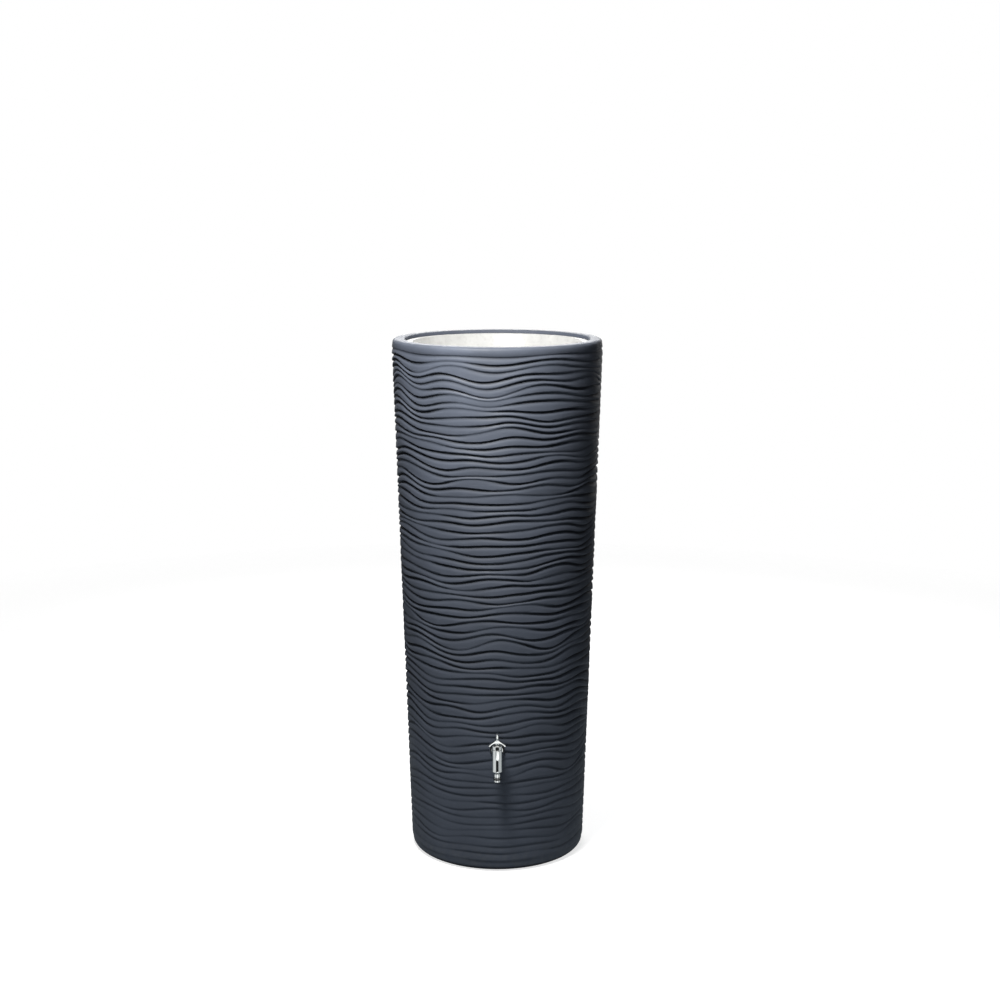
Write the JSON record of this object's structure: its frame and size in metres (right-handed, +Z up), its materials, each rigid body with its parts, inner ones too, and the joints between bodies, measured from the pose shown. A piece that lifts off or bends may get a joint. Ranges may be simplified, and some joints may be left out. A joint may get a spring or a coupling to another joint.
{
  "type": "rain barrel",
  "caption": "Tall tapered round rain barrel with a rippled wall, a lever tap low on the front, an inlet and drain plug at the back, and a lift-out planter bowl in its top.",
  "frame": {"origin": "centre of the base, on the ground", "axes": "+Z up, -Y out of the front where the tap is, +X to the right as seen from behind the tap"},
  "size_m": [0.586, 0.6651, 1.48],
  "materials": {
    "tank_plastic": "satin moulded polyethylene, slate grey",
    "bowl_plastic": "satin moulded polypropylene, off-white",
    "black_plastic": "satin",
    "white_plastic": "smooth",
    "rubber": "matt",
    "chrome": "polished plating on brass",
    "brass": "machined",
    "steel": "turned"
  },
  "bodies": {
    "barrel": {"tank_shell": "tank_plastic", "bowl_seal": "rubber", "tap_insert": "brass", "tap_gasket": "rubber", "tap_body": "chrome", "tap_inlay": "black_plastic", "port_seal": "white_plastic", "stem_o_ring": "rubber", "bonnet": "chrome", "bonnet_cap": "black_plastic", "nozzle_washer": "rubber", "spout_nozzle": "chrome", "nozzle_ring": "rubber", "drain_insert": "brass", "inlet_fitting": "black_plastic", "inlet_gasket": "rubber", "inlet_nut": "black_plastic"},
    "planter": {"planter_bowl": "bowl_plastic"},
    "strainer": {"drain_strainer": "black_plastic"},
    "valve": {"valve_plug": "black_plastic", "plug_o_ring_lower": "rubber", "plug_o_ring_upper": "rubber", "tap_handle": "chrome", "handle_screw": "steel"},
    "drain_washer": {"drain_seal": "rubber"},
    "drain_stopper": {"drain_plug": "black_plastic"}
  },
  "joints": [
    {"name": "handle_turn", "type": "hinge", "parent": "barrel", "child": "valve", "pos_m": [0, -0.30371, 0.395], "axis": [0, 0, 1], "range_deg": [0, 90]},
    {"name": "bowl_lift", "type": "slide", "parent": "barrel", "child": "planter", "axis": [0, 0, 1], "range_m": [0, 0.4]},
    {"name": "strainer_lift", "type": "slide", "parent": "planter", "child": "strainer", "axis": [0, 0, 1], "range_m": [0, 0.05]},
    {"name": "drain_plug_out", "type": "slide", "parent": "barrel", "child": "drain_washer", "axis": [0, 1, 0], "range_m": [0, 0.0164]},
    {"name": "drain_plug_turn", "type": "hinge", "parent": "drain_washer", "child": "drain_stopper", "pos_m": [0, 0.25227, 0.062], "axis": [0, 1, 0], "range_deg": [0, 3240]}
  ],
  "couplings": [
    {"joint": "drain_plug_out", "follows": "drain_plug_turn", "m_per_rad": 0.00028648}
  ]
}
